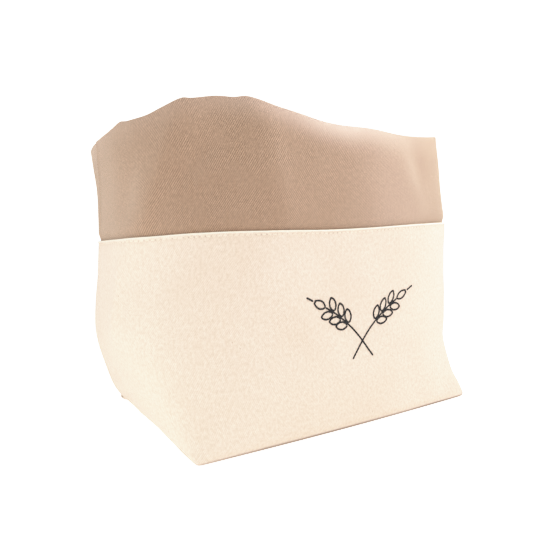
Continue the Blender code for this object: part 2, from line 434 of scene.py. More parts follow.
def closingStrip(first, second, flip, uvs=None):
    # narrow strip that closes a cut edge between the two faces of a sheet
    if uvs is None:
        uvs = np.zeros((len(first), 2))
    return patch(np.stack([first, second], axis=1), np.stack([uvs, uvs], axis=1), flip)


def sheetFromPatches(name, patches, material):
    # joins grids of points that share their borders into one closed mesh
    points, faces, uvs = [], [], []
    first = 0
    for grid in patches:
        rows, columns = grid["points"].shape[:2]
        ids = first + np.arange(rows * columns).reshape(rows, columns)
        quads = np.stack([ids[:-1, :-1], ids[:-1, 1:], ids[1:, 1:], ids[1:, :-1]], axis=-1).reshape(-1, 4)
        if grid["flip"]:
            quads = quads[:, ::-1]
        points.append(grid["points"].reshape(-1, 3))
        faces.append(quads)
        uvs.append(grid["uvs"].reshape(-1, 2)[quads.reshape(-1) - first])
        first += rows * columns
    mesh = bpy.data.meshes.new(name)
    mesh.from_pydata(np.concatenate(points).tolist(), [], np.concatenate(faces).tolist())
    layer = mesh.uv_layers.new(name="clothMap")
    layer.data.foreach_set("uv", np.concatenate(uvs).reshape(-1))
    paintedLight = mesh.attributes.new("paintedLight", "FLOAT", "POINT")
    paintedLight.data.foreach_set("value", np.concatenate([grid["paintedLight"].reshape(-1) for grid in patches]))
    work = bmesh.new()
    work.from_mesh(mesh)
    bmesh.ops.remove_doubles(work, verts=work.verts, dist=0.004 * mm)
    bmesh.ops.dissolve_degenerate(work, dist=0.002 * mm, edges=work.edges)
    work.to_mesh(mesh)
    work.free()
    mesh.materials.append(material)
    mesh.shade_smooth()
    return addObject(name, mesh)


def runDown(points):
    # length along the cloth from the first row of a grid of points
    steps = np.linalg.norm(np.diff(points, axis=0), axis=-1)
    return np.concatenate([np.zeros((1, points.shape[1])), np.cumsum(steps, axis=0)])


def seamRidge(place, cloth):
    # the layers inside lift the cloth beside a side seam
    return cloth["seamRidge"] * bell(fromSeam(place), cloth["ridgeWidth"])


allowanceFade = 0.6 * mm


def seamAllowance(place, cloth):
    # 1 where the seam allowance lies inside the cloth, 0 beyond it
    return ease((cloth["allowanceWidth"] - fromSeam(place)) / allowanceFade + 0.5)


# cream body
creamCloth = {
    "seamRadius": 0.35 * mm,
    "seamRidge": 0.35 * mm,
    "ridgeWidth": 2.2 * mm,
    "allowanceWidth": 8.6 * mm,   # seam allowance pressed flat inside
    "allowanceRise": 0.9 * mm,
    "allowanceFoot": 6.0 * mm,    # it fades out towards the floor and towards the upper edge
    "allowanceTop": 14.0 * mm,
    "thinnest": 0.3 * mm,
    "floorRadius": 1.2 * mm,
    "edgeRidge": 0.30 * mm,       # the folded edge stands a little proud
    "edgeRidgeDepth": 0.5 * mm,
    "edgeRidgeWidth": 0.9 * mm,
    "stitchTrough": 0.22 * mm,
    "troughWidth": 0.7 * mm,
    "stitchDepth": 2.0 * mm,      # row of stitches below the edge
    "pucker": 0.07 * mm,
    "puckerLength": 6.0 * mm,
    "puckerDrift": 23 * mm,
    "puckerDepth": 3.5 * mm,      # below the edge, and how far it spreads up and down
    "rollInset": 2.0 * mm,        # the left end rolls under in its back half
    "rollHeight": 5.0 * mm,
    "rollAtSeam": 0.6,
    "rollFade": 12 * mm,
    "lipHeight": 3.4 * mm,        # crease above the rolled lip of the left end
    "lipDepth": 0.55 * mm,
    "lipWidth": 0.9 * mm,
    "lipFade": 22 * mm,
    "swell": 0.25 * mm,           # soft swelling above that crease
    "swellHeight": 8.0 * mm,
    "swellWidth": 5.5 * mm,
    "shadowFade": 0.9 * mm,         # how soft the painted shadow line is above and under its middle
    "shadowUnder": 1.3 * mm,
    "shadowWave": 17 * mm,          # it is stronger and weaker along the floor
    "shadowDrift": 41 * mm,
}

# painted contact shadow, a brown line at the bottom: place from the left seam and height in millimetres,
# strength
floorShadowLine = {
    "front": (
        (0, 12.6, 0.6), (15, 11.4, 0.6), (30, 5.5, 0.5), (45, 1.5, 0.5), (78, 1.1, 0.45),
        (120, 1.3, 0.8), (200, 1.3, 1.0),
    ),
    "back": ((0, 12.6, 0.6), (45, 13.0, 0.7), (60, 7.4, 0.8), (78, 1.3, 1.0)),
}


def rollUnder(side, place, height):
    # rolled bottom edge at the left end
    atSeam = creamCloth["rollAtSeam"]
    if side == "front":
        share = ease(1 - place / (0.8 * cornerPlace)) * atSeam
    else:
        share = atSeam + (1 - atSeam) * np.sin(np.clip(place / cornerPlace, 0, 1) * math.pi)
    share = share * ease((cornerPlace - place) / creamCloth["rollFade"])
    drop = np.clip(1 - height / creamCloth["rollHeight"], 0.0, 1.0)
    along = ease((cornerPlace - place) / creamCloth["lipFade"])
    lip = creamCloth["lipDepth"] * bell(height - creamCloth["lipHeight"], creamCloth["lipWidth"])
    swell = creamCloth["swell"] * bell(height - creamCloth["swellHeight"], creamCloth["swellWidth"])
    return creamCloth["rollInset"] * share * drop**2 + along * (lip - swell)


def paintedFloorShadow(side, place, height):
    # painted contact shadow: an uneven brown line along the floor; it climbs where the left end is lifted
    # off the floor, as painted shadow under the rolled lip
    rows = np.array(floorShadowLine[side])
    line = np.interp(place, rows[:, 0] * mm, rows[:, 1] * mm)
    strength = np.interp(place, rows[:, 0] * mm, rows[:, 2])
    wave = place / creamCloth["shadowWave"] + 2 * np.sin(place / creamCloth["shadowDrift"])
    uneven = 0.88 + 0.12 * np.sin(wave)
    above = 1 - ease((height - line) / creamCloth["shadowFade"])
    under = bell(np.minimum(height - line, 0.0), creamCloth["shadowUnder"])
    return above * under * strength * uneven


def edgeShape(place, below):
    # relief of the folded cream edge and its stitched trough
    cloth = creamCloth
    ridge = cloth["edgeRidge"] * bell(below - cloth["edgeRidgeDepth"], cloth["edgeRidgeWidth"])
    trough = cloth["stitchTrough"] * bell(below - cloth["stitchDepth"], cloth["troughWidth"])
    wave = 2 * math.pi * place / cloth["puckerLength"] + 3 * np.sin(place / cloth["puckerDrift"])
    pucker = cloth["pucker"] * np.sin(wave) * bell(below - cloth["puckerDepth"], cloth["puckerDepth"])
    return ridge - trough + pucker


def coonsPatch(front, middle, left, right, across, along):
    # grid between four borders; across runs from left to right and along from front to middle
    u, v = across[None, :, None], along[:, None, None]
    corners = ((1 - u) * (1 - v) * front[0] + u * (1 - v) * front[-1]
               + (1 - u) * v * middle[0] + u * v * middle[-1])
    return ((1 - v) * front[None] + v * middle[None]
            + (1 - u) * left[:, None] + u * right[:, None] - corners)


def basePatch(ring, places, first, last, flip):
    # half of the base, from the bottom ring to the seam across the middle
    front = ring[first:last + 1]
    left = ring[first::-1]
    right = ring[last:]
    across = (places[first:last + 1] - cornerPlace) / bagForm["baseWidth"]
    along = (cornerPlace - places[first::-1]) / cornerPlace
    middle = left[-1] + (right[-1] - left[-1]) * across[:, None]
    grid = coonsPatch(front, middle, left, right, across, along)
    u, v = np.meshgrid(places[first:last + 1], -bagForm["seamHeight"] - along * cornerPlace)
    return patch(grid, np.stack([u, v], axis=-1), flip)


def makeCreamPanel(side, material):
    places = columnPlaces()
    seam = edgeHeight(side + "Seam", places)
    usual = bagForm["seamHeight"]
    thick = bagForm["creamThickness"]
    floorRows = [value * mm for value in clothGrid["nearFloor"]]
    edgeRows = [usual - value * mm for value in clothGrid["nearEdge"]]
    steps = int((edgeRows[0] - floorRows[-1]) / clothGrid["step"])
    between = list(np.linspace(floorRows[-1], edgeRows[0], steps + 1)[1:-1])
    rowHeights = np.array(floorRows + between + edgeRows)
    height = rowHeights[::-1, None] * (seam / usual)[None, :]        # top row first
    place = np.broadcast_to(places, height.shape)
    below = seam[None, :] - height
    seamIn = roundOff(fromSeam(place), creamCloth["seamRadius"])
    floorIn = roundOff(height, creamCloth["floorRadius"])
    outerIn = seamIn + floorIn + rollUnder(side, place, height) - edgeShape(place, below)
    outerIn = outerIn - seamRidge(place, creamCloth) * ease(height / bagForm["floorFade"])
    outer = onBag(side, place, height, outerIn)
    down = runDown(outer)
    uvs = np.stack([place, -down], axis=-1)

    # inner face, a little thicker where the seam allowance lies
    allowance = seamAllowance(place, creamCloth) * ease(height / creamCloth["allowanceFoot"])
    allowance = allowance * ease(below / creamCloth["allowanceTop"] - 0.4)
    innerHeight = np.maximum(height, thick)
    innerIn = thick + creamCloth["allowanceRise"] * allowance
    innerIn = np.maximum(innerIn, seamIn + creamCloth["thinnest"])
    innerIn = innerIn + rollUnder(side, place, innerHeight) + 0.25 * floorIn
    inner = onBag(side, place, innerHeight, innerIn)

    # folded top edge
    turn = np.linspace(0, math.pi, clothGrid["roundSteps"] + 1)[:, None]
    middleIn, halfIn = (outerIn[0] + innerIn[0]) / 2, (innerIn[0] - outerIn[0]) / 2
    foldHeight = height[0] + halfIn * np.sin(turn)
    foldPlace = np.broadcast_to(places, foldHeight.shape)
    fold = onBag(side, foldPlace, foldHeight, middleIn - halfIn * np.cos(turn))
    fold[0], fold[-1] = outer[0], inner[0]
    foldUvs = np.stack([foldPlace, halfIn[None, :] * turn], axis=-1)

    flip = side == "front"
    first = int(np.argmin(np.abs(places - cornerPlace)))
    last = len(places) - 1 - first
    # the outer face carries the painted contact shadow along the floor
    pieces = [
        patch(outer, uvs, flip, paintedFloorShadow(side, place, height)),
        patch(fold[::-1], foldUvs[::-1], flip),
        patch(inner, uvs, not flip),
        basePatch(outer[-1], places, first, last, not flip),
        basePatch(inner[-1], places, first, last, flip),
    ]
    # the side edges, the ends of the fold and the base's middle edge
    half = len(fold) // 2
    for end, turned in ((0, not flip), (-1, flip)):
        pieces.append(closingStrip(outer[:, end], inner[:, end], turned))
        pieces.append(closingStrip(fold[:half + 1, end], fold[:half - 1:-1, end], not turned))
    baseOuter, baseInner = pieces[3]["points"][-1], pieces[4]["points"][-1]
    pieces.append(closingStrip(baseOuter, baseInner, flip))
    name = "cream" + side.capitalize() + "Cloth"
    return sheetFromPatches(name, pieces, material)


# doubled band
bandCloth = {
    "rows": 34,
    "rimWave": 0.25 * mm,
    "rimWaveLength": 7.3 * mm,
    "rimLift": 0.8 * mm,
    "rimLean": 2.0 * mm,
    "leanReach": 17 * mm,
    # painted highlight on the rim fold: its reach, and how strong it is along the faces
    "paleReach": 9.5 * mm,
    "leastPale": 0.15,
    "paleMiddle": 174 * mm,
    "paleWidth": 46 * mm,
    "faded": 0.22,                # painted light: the cloth is painted a little paler right of the middle
    "fadedMiddle": 217 * mm,
    "fadedWidth": 34 * mm,
    "leanFade": 30 * mm,
    "seamRadius": 0.45 * mm,
    "seamRidge": 0.6 * mm,
    "ridgeWidth": 2.4 * mm,
    "allowanceRise": 1.0 * mm,
    "allowanceWidth": 9.0 * mm,
    "allowanceTop": 3.0 * mm,
    "layerGap": 0.3 * mm,
}


def makeBand(side, material):
    # hairpin sheet: outer layer up, over the rim, inner layer down
    places = columnPlaces()
    seam = edgeHeight(side + "Seam", places)
    low = seam - bagForm["lap"]
    thick, layer = bagForm["bandThickness"], bagForm["bandLayer"]
    half = thick / 2
    onFace = ease((fromSeam(places) - cornerPlace) / bandCloth["leanFade"])
    wave = bandCloth["rimWave"] * np.sin(places / bandCloth["rimWaveLength"])
    rim = rimHeight(side, places) + wave
    rim = rim + bandCloth["rimLift"] * onFace
    share = np.linspace(0.0, 1.0, bandCloth["rows"])[:, None]
    height = low[None, :] + share * (rim - half - low)[None, :]
    place = np.broadcast_to(places, height.shape)
    tuckDepth = bagForm["creamThickness"] + bagForm["pieceGap"]
    tuck = tuckDepth * (1 - ease((height - seam) / bagForm["lapEase"]))
    # the rim leans inwards along the faces
    lean = np.clip(1 - (rim - height) / bandCloth["leanReach"], 0.0, 1.0) ** 2
    tuck = tuck + bandCloth["rimLean"] * lean * onFace
    seamIn = roundOff(fromSeam(place), bandCloth["seamRadius"])
    allowance = seamAllowance(place, bandCloth)
    allowance = allowance * ease((rim - height) / bandCloth["allowanceTop"] - 0.3)
    outerIn = tuck + seamIn - seamRidge(place, bandCloth) * ease((height - seam) / bagForm["lapEase"])
    innerIn = tuck + thick + bandCloth["allowanceRise"] * allowance
    turn = np.linspace(0, math.pi, 2 * clothGrid["roundSteps"] + 1)[:, None]

    def hairpin(outside, inside):
        # the path of one face of the sheet, up and over
        middleIn, halfIn = (outside[-1] + inside[-1]) / 2, (inside[-1] - outside[-1]) / 2
        foldHeight = height[-1] + halfIn * np.sin(turn)
        foldIn = middleIn - halfIn * np.cos(turn)
        allHeight = np.concatenate([height, foldHeight[1:-1], height[::-1]])
        allIn = np.concatenate([outside, foldIn[1:-1], inside[::-1]])
        allPlace = np.broadcast_to(places, allHeight.shape)
        return onBag(side, allPlace, allHeight, allIn)

    shown = hairpin(outerIn, innerIn)
    closest = outerIn + layer + bandCloth["layerGap"]
    hidden = hairpin(outerIn + layer, np.maximum(innerIn - layer, closest))
    run = runDown(shown)
    uvs = np.stack([np.broadcast_to(places, run.shape), run - bagForm["lap"]], axis=-1)
    # painted highlight: the fold of the rim is painted paler, most along the right of the faces
    paler = bell(places - bandCloth["paleMiddle"], bandCloth["paleWidth"])
    paler = bandCloth["leastPale"] + (1 - bandCloth["leastPale"]) * paler
    paintedLight = bell(run - run[len(run) // 2], bandCloth["paleReach"]) * paler
    faded = bandCloth["faded"] * bell(places - bandCloth["fadedMiddle"], bandCloth["fadedWidth"])
    paintedLight = 1 - (1 - paintedLight) * (1 - faded)
    flip = side == "back"
    pieces = [patch(shown, uvs, flip, paintedLight), patch(hidden, uvs, not flip)]
    for end, turned in ((0, flip), (-1, not flip)):
        pieces.append(closingStrip(shown[end], hidden[end], turned, uvs[end]))
        pieces.append(closingStrip(shown[:, end], hidden[:, end], turned, uvs[:, end]))
    name = "tan" + side.capitalize() + "Band"
    return sheetFromPatches(name, pieces, material)


# stitches
threadWork = {
    "pitch": 3.0 * mm,
    "length": 2.45 * mm,
    "width": 0.46 * mm,
    "thickness": 0.36 * mm,
    "lift": 0.05 * mm,       # how far a stitch bows out
    "sides": 8,
    "rings": 7,
    "innerGap": 0.05 * mm,   # inner row, off the inside of the band
    "holeRise": 0.6 * mm,    # needle holes, above the row and fading over a short reach
    "holeReach": (0.20 * mm, 0.65 * mm),
    "holeScale": 260.0,
    "holeRange": (0.38, 0.62),
    "holeShade": (0.15, 0.75),
}


def stitchShape(sides, rings):
    # one stitch, one unit long and one unit across
    points, faces = [(0.0, 0.0, 0.0)], []
    for ring in range(1, rings):
        along = ring / rings
        radius = 0.5 * (4 * along * (1 - along)) ** 0.35
        for side in range(sides):
            turn = 2 * math.pi * side / sides
            points.append((along, radius * math.cos(turn), radius * math.sin(turn)))
    points.append((1.0, 0.0, 0.0))
    tip = len(points) - 1
    for side in range(sides):
        after = (side + 1) % sides
        faces.append((0, 1 + after, 1 + side))
        for ring in range(rings - 2):
            a = 1 + ring * sides
            b = a + sides
            faces.append((a + side, a + after, b + after, b + side))
        a = 1 + (rings - 2) * sides
        faces.append((a + side, a + after, tip))
    return np.array(points), faces


def makeStitches(name, starts, ends, outwards, thread, material):
    # many stitches as one mesh, each bowed a little out of the cloth
    shape, shapeFaces = stitchShape(thread["sides"], thread["rings"])
    starts, ends, outwards = (np.asarray(a, float) for a in (starts, ends, outwards))
    along = ends - starts
    long = np.linalg.norm(along, axis=-1, keepdims=True)
    across = np.cross(outwards, along / long)
    across = across / np.linalg.norm(across, axis=-1, keepdims=True)
    out = np.cross(along / long, across)
    bow = 4 * shape[:, 0] * (1 - shape[:, 0]) * thread["lift"]
    points = (starts[:, None] + along[:, None] * shape[None, :, :1]
              + across[:, None] * shape[None, :, 1:2] * thread["width"]
              + out[:, None] * (shape[None, :, 2:3] * thread["thickness"] + bow[None, :, None]))
    faces = []
    for index in range(len(starts)):
        first = index * len(shape)
        faces.extend(tuple(first + corner for corner in face) for face in shapeFaces)
    mesh = bpy.data.meshes.new(name)
    mesh.from_pydata(points.reshape(-1, 3).tolist(), [], faces)
    mesh.materials.append(material)
    mesh.shade_smooth()
    return addObject(name, mesh)


def outwardAt(side, place, height):
    # direction straight out of the cloth
    step = 0.6 * mm
    alongPlace = onBag(side, place + step, height) - onBag(side, place - step, height)
    alongHeight = onBag(side, place, height + step) - onBag(side, place, height - step)
    out = np.cross(alongPlace, alongHeight) * (1 if side == "front" else -1)
    return out / np.linalg.norm(out, axis=-1, keepdims=True)


def makeTopstitch(side, material, inside=False):
    # row of stitches below the folded cream edge, seen outside and again inside the band
    count = int(halfGirth / threadWork["pitch"])
    begin = (np.arange(count) + 0.5) * halfGirth / count - threadWork["length"] / 2
    end = begin + threadWork["length"]
    depth = creamCloth["stitchDepth"]
    if inside:
        reach = bagForm["creamThickness"] + bagForm["pieceGap"] + bagForm["bandThickness"]
        reach = reach + threadWork["innerGap"]
    else:
        reach = creamCloth["stitchTrough"]
    ends = []
    for place in (begin, end):
        height = edgeHeight(side + "Seam", place) - depth
        ends.append(onBag(side, place, height, reach))
    middle = (begin + end) / 2
    out = outwardAt(side, middle, edgeHeight(side + "Seam", middle) - depth) * (-1 if inside else 1)
    name = side + ("InnerTopstitch" if inside else "Topstitch")
    return makeStitches(name, ends[0], ends[1], out, threadWork, material)


# embroidery: two crossed ears of wheat in black outline, in millimetres on the front face
wheatMotif = {
    "place": 188.0,
    "height": 54.0,
    "stitch": 2.1,
    "overlap": 0.55,
    "width": 1.15 * mm,
    "thickness": 0.50 * mm,
    "lift": 0.12 * mm,
    "sides": 8,
    "rings": 6,
    "proud": 0.02 * mm,   # stitches begin and end just outside the cloth
    "grain": 9.4,
    "grainWidth": 4.9,
    "topGrain": 9.4 * 1.05,
    "fromStalk": 0.9,
    "pairs": 3,
    "pairStep": 7.0,
    "spread": 38.0,       # degrees between a grain and its stalk
    "stalk": 15.0,
    "tail": 13.0,
    "lean": 54.0,         # degrees of each ear from upright
    "curl": 16.0,         # degrees that an ear starts nearer to upright
    "bend": 1.6,          # times that, over its length
    "beard": 6.0,
}


def pointAlong(origin, heading, distance):
    return (origin[0] + distance * math.sin(heading), origin[1] + distance * math.cos(heading))


def grainLine(origin, heading, length, width):
    # closed outline of one pointed grain
    line = []
    steps = 22
    for step in range(2 * steps + 1):
        share = step / steps
        side = 1 if share <= 1 else -1
        along = share if share <= 1 else 2 - share
        reach = width / 2 * math.sin(math.pi * along**0.85) ** 0.9 if 0 < along < 1 else 0.0
        onAxis = pointAlong(origin, heading, along * length)
        line.append(pointAlong(onAxis, heading + side * math.pi / 2, reach))
    return line


def earLines(mirror):
    # stalk, grains and beard of one ear
    lean, curl, spread = (math.radians(wheatMotif[key]) for key in ("lean", "curl", "spread"))
    lean, curl = lean * mirror, curl * mirror
    total = wheatMotif["stalk"] + wheatMotif["pairs"] * wheatMotif["pairStep"]
    start = pointAlong((0.0, 0.0), lean - curl, -wheatMotif["tail"])
    stalk, spot = [start], (0.0, 0.0)
    steps = 40
    nodes = []
    for step in range(steps + 1):
        share = step / steps
        heading = lean - curl + wheatMotif["bend"] * curl * share
        stalk.append(spot)
        nodes.append((share * total, spot, heading))
        spot = pointAlong(spot, heading, total / steps)
    lines = [stalk]
    grain, width = wheatMotif["grain"], wheatMotif["grainWidth"]
    for pair in range(wheatMotif["pairs"]):
        at = wheatMotif["stalk"] + pair * wheatMotif["pairStep"]
        _, origin, heading = min(nodes, key=lambda node: abs(node[0] - at))
        for side in (-1, 1):
            begin = pointAlong(origin, heading + side * math.pi / 2, wheatMotif["fromStalk"])
            lines.append(grainLine(begin, heading + side * spread, grain, width))
    _, origin, heading = nodes[-1]
    lines.append(grainLine(origin, heading, wheatMotif["topGrain"], width))
    tip = pointAlong(origin, heading, wheatMotif["topGrain"])
    lines.append([tip, pointAlong(tip, heading, wheatMotif["beard"])])
    return lines


def stitchedLine(line, length, chance):
    # ends of the stitches that follow a line, each overlapping the last
    line = np.array(line)
    run = np.concatenate([[0.0], np.cumsum(np.linalg.norm(np.diff(line, axis=0), axis=-1))])
    count = max(int(round(run[-1] / length)), 1)
    at = np.linspace(0.0, run[-1], count + 1)
    over = wheatMotif["overlap"]
    begins, ends = at[:-1] - over, at[1:] + over
    begins[0], ends[-1] = 0.0, run[-1]
    pairs = []
    for begin, end in zip(begins, ends):
        off = chance.uniform(-0.09, 0.09)
        a, b = ([np.interp(where, run, line[:, axis]) for axis in (0, 1)] for where in (begin, end))
        pairs.append(((a[0] + off, a[1]), (b[0] - off, b[1])))
    return pairs


def makeEmbroidery(material):
    chance = random.Random(5)
    pairs = []
    for mirror in (-1, 1):
        for line in earLines(mirror):
            pairs.extend(stitchedLine(line, wheatMotif["stitch"], chance))
    ends = []
    for side in (0, 1):
        spots = np.array([pair[side] for pair in pairs])
        place = (wheatMotif["place"] + spots[:, 0]) * mm
        height = (wheatMotif["height"] + spots[:, 1]) * mm
        ends.append((place, height))
    starts, stops = (onBag("front", place, height, -wheatMotif["proud"]) for place, height in ends)
    out = outwardAt("front", (ends[0][0] + ends[1][0]) / 2, (ends[0][1] + ends[1][1]) / 2)
    return makeStitches("wheatEmbroidery", starts, stops, out, wheatMotif, material)


# materials
twillWeave = {
    "warp": 0.305 * mm,     # one warp thread
    "weft": 0.45 * mm,      # one weft thread
    "repeat": 4.0,          # the warp goes over three and under one
    "relief": 0.10 * mm,
    "swayScale": 170.0,     # slow wandering of the threads, and their finer jitter
    "swayAcross": 0.9,
    "swayAlong": 0.7,
    "jitterScale": 900.0,
    "jitter": 0.45,
    "archRange": (0.30, 0.46),
    "roundness": 3.2,
    "usualGroove": 0.38,    # share of a thread's width that lies in shade
    "grooveRange": (0.0, 0.85),
    "grainWidth": 1.45 * mm,
    "grainLength": 2.2 * mm,
    "grainRange": (0.36, 0.64),
    "slubScale": 60.0,
    "slubRange": (0.30, 0.70),
    "cloudRange": (0.35, 0.65),
    "patchScale": 90.0,
    "patchRange": (0.38, 0.60),
    "fuzzScale": 2600.0,
    "fuzz": 0.35,
    "sheenRoughness": 0.6,
    "specular": 0.2,
}


class Recipe:
    # small helper that adds shader nodes and links them
    def __init__(self, name, roughness):
        self.material = bpy.data.materials.new(name)
        self.material.use_nodes = True
        self.nodes = self.material.node_tree.nodes
        self.links = self.material.node_tree.links
        self.shader = self.nodes["Principled BSDF"]
        self.shader.inputs["Roughness"].default_value = roughness

    def feed(self, socket, value):
        if hasattr(value, "is_output"):
            self.links.new(value, socket)
        elif value is not None:
            socket.default_value = value

    def math(self, operation, first, second=None, third=None):
        node = self.nodes.new("ShaderNodeMath")
        node.operation = operation
        for socket, value in zip(node.inputs, (first, second, third)):
            self.feed(socket, value)
        return node.outputs[0]

    def mix(self, share, first, second):
        node = self.nodes.new("ShaderNodeMix")
        node.data_type = "RGBA"
        node.clamp_factor = True
        self.feed(node.inputs["Factor"], share)
        self.feed(node.inputs["A"], first)
        self.feed(node.inputs["B"], second)
        return [output for output in node.outputs if output.type == "RGBA"][0]

    def clothMap(self):
        node = self.nodes.new("ShaderNodeUVMap")
        node.uv_map = "clothMap"
        return node.outputs["UV"]

    def noise(self, vector, scale, detail, roughness=0.5):
        node = self.nodes.new("ShaderNodeTexNoise")
        node.inputs["Scale"].default_value = scale
        node.inputs["Detail"].default_value = detail
        node.inputs["Roughness"].default_value = roughness
        self.feed(node.inputs["Vector"], vector)
        return node.outputs["Fac"]

    def rescale(self, value, low, high, toLow=0.0, toHigh=1.0):
        node = self.nodes.new("ShaderNodeMapRange")
        node.clamp = True
        for key, number in (("From Min", low), ("From Max", high), ("To Min", toLow), ("To Max", toHigh)):
            node.inputs[key].default_value = number
        self.feed(node.inputs["Value"], value)
        return node.outputs["Result"]

    def stretched(self, vector, scale):
        node = self.nodes.new("ShaderNodeVectorMath")
        node.operation = "MULTIPLY"
        node.inputs[1].default_value = scale
        self.feed(node.inputs[0], vector)
        return node.outputs["Vector"]

    def split(self, vector):
        node = self.nodes.new("ShaderNodeSeparateXYZ")
        self.feed(node.inputs[0], vector)
        return node.outputs["X"], node.outputs["Y"]

    def bump(self, height, distance, strength):
        node = self.nodes.new("ShaderNodeBump")
        node.inputs["Distance"].default_value = distance
        node.inputs["Strength"].default_value = strength
        self.feed(node.inputs["Height"], height)
        self.links.new(node.outputs["Normal"], self.shader.inputs["Normal"])


def twillHeight(recipe, cloth):
    # height of the threads in a three-over-one twill of uneven yarn
    u, v = recipe.split(cloth)
    sway = recipe.math("SUBTRACT", recipe.noise(cloth, twillWeave["swayScale"], 1.0), 0.5)
    jitter = recipe.math("SUBTRACT", recipe.noise(cloth, twillWeave["jitterScale"], 1.0), 0.5)
    sway = recipe.math("MULTIPLY_ADD", jitter, twillWeave["jitter"], sway)
    threads = recipe.math("DIVIDE", u, twillWeave["warp"])
    column = recipe.math("MULTIPLY_ADD", sway, twillWeave["swayAcross"], threads)
    threads = recipe.math("DIVIDE", v, twillWeave["weft"])
    row = recipe.math("MULTIPLY_ADD", sway, twillWeave["swayAlong"], threads)
    across = recipe.math("SUBTRACT", recipe.math("FRACT", column), 0.5)
    shift = recipe.math("SUBTRACT", row, recipe.math("FLOOR", column))
    along = recipe.math("FRACT", recipe.math("DIVIDE", shift, twillWeave["repeat"]))
    fromMiddle = recipe.math("ABSOLUTE", recipe.math("SUBTRACT", along, 0.5))
    overArch = recipe.rescale(fromMiddle, *twillWeave["archRange"], 1.0, 0.0)
    fall = recipe.math("MULTIPLY", recipe.math("MULTIPLY", across, across), twillWeave["roundness"])
    return recipe.math("MULTIPLY", overArch, recipe.math("SUBTRACT", 1.0, fall))


def clothMaterial(name, look):
    recipe = Recipe(name, look["roughness"])
    cloth = recipe.clothMap()
    warp = twillHeight(recipe, cloth)
    spread = (1 / twillWeave["warp"] * 0.9, twillWeave["slubScale"], 1.0)
    slub = recipe.noise(recipe.stretched(cloth, spread), 1.0, 2.0)
    cloud = recipe.noise(cloth, look["cloudScale"], 3.0)
    tone = recipe.mix(recipe.rescale(cloud, *twillWeave["cloudRange"]), look["dark"], look["light"])
    slub = recipe.rescale(slub, *twillWeave["slubRange"], 0.0, look["slub"])
    tone = recipe.mix(slub, tone, look["slubColour"])
    # the diagonal shows in patches, between them lies the plain grain of the yarn
    patches = recipe.noise(cloth, twillWeave["patchScale"], 1.0)
    clear = recipe.rescale(patches, *twillWeave["patchRange"], look["faint"], look["groove"])
    usual = twillWeave["usualGroove"]
    groove = recipe.rescale(warp, *twillWeave["grooveRange"], 1.0, 0.0)
    groove = recipe.math("SUBTRACT", groove, usual)
    groove = recipe.math("MULTIPLY_ADD", groove, clear, usual * look["groove"])
    tone = recipe.mix(groove, tone, look["grooveColour"])
    spread = (1 / twillWeave["grainWidth"], 1 / twillWeave["grainLength"], 1.0)
    grain = recipe.noise(recipe.stretched(cloth, spread), 1.0, 3.0, 0.8)
    grain = recipe.rescale(grain, *twillWeave["grainRange"], 0.0, look["grain"])
    tone = recipe.mix(grain, tone, look["grooveColour"])
    if "fleckColour" in look:
        tone = recipe.mix(fleckMask(recipe, cloth, look), tone, look["fleckColour"])
    if "holeColour" in look:
        # painted shade, a little darker and rosier upwards, then a painted highlight along the fold at
        # the top
        for key in ("upper", "edge"):
            share = recipe.rescale(recipe.split(cloth)[1], *look[key + "Reach"], 0.0, look[key + "Share"])
            tone = recipe.mix(share, tone, look[key + "Colour"])
        tone = recipe.mix(needleHoles(recipe, cloth), tone, look["holeColour"])
    # painted light from the mesh attribute: painted shadow along the floor on the cream, painted
    # highlight on the tan rim
    paintedLight = recipe.nodes.new("ShaderNodeAttribute")
    paintedLight.attribute_name = "paintedLight"
    tone = recipe.mix(paintedLight.outputs["Fac"], tone, look["paintedLightColour"])
    recipe.feed(recipe.shader.inputs["Base Color"], tone)
    recipe.shader.inputs["Sheen Weight"].default_value = look["sheen"]
    recipe.shader.inputs["Sheen Roughness"].default_value = twillWeave["sheenRoughness"]
    recipe.shader.inputs["Sheen Tint"].default_value = look["sheenTint"]
    recipe.shader.inputs["Specular IOR Level"].default_value = twillWeave["specular"]
    fuzz = recipe.noise(cloth, twillWeave["fuzzScale"], 2.0)
    height = recipe.math("MULTIPLY_ADD", fuzz, twillWeave["fuzz"], warp)
    recipe.bump(height, twillWeave["relief"], look["bump"])
    return recipe.material


def fleckMask(recipe, cloth, look):
    # few small specks of seed husk spun into the thread
    cells = recipe.nodes.new("ShaderNodeTexVoronoi")
    cells.inputs["Scale"].default_value = look["fleckScale"]
    cells.inputs["Randomness"].default_value = 1.0
    recipe.links.new(recipe.stretched(cloth, look["fleckStretch"]), cells.inputs["Vector"])
    spot = recipe.rescale(cells.outputs["Distance"], *look["fleckSize"], 1.0, 0.0)
    colours = recipe.nodes.new("ShaderNodeSeparateColor")
    recipe.links.new(cells.outputs["Color"], colours.inputs[0])
    chosen = recipe.rescale(colours.outputs[0], *look["fleckChoice"], 0.0, look["fleck"])
    return recipe.math("MULTIPLY", spot, chosen)


def needleHoles(recipe, cloth):
    # shade in the needle holes between the stitches of the seam
    u, v = recipe.split(cloth)
    pitch = halfGirth / int(halfGirth / threadWork["pitch"])
    turn = recipe.math("FRACT", recipe.math("DIVIDE", u, pitch))
    along = recipe.math("MINIMUM", turn, recipe.math("SUBTRACT", 1.0, turn))
    along = recipe.math("MULTIPLY", along, pitch)
    down = recipe.math("ADD", v, creamCloth["stitchDepth"] - threadWork["holeRise"])
    away = recipe.math("SQRT", recipe.math("ADD", recipe.math("MULTIPLY", along, along),
                                           recipe.math("MULTIPLY", down, down)))
    depth = recipe.noise(cloth, threadWork["holeScale"], 1.0)
    depth = recipe.rescale(depth, *threadWork["holeRange"], *threadWork["holeShade"])
    return recipe.math("MULTIPLY", recipe.rescale(away, *threadWork["holeReach"], 1.0, 0.0), depth)


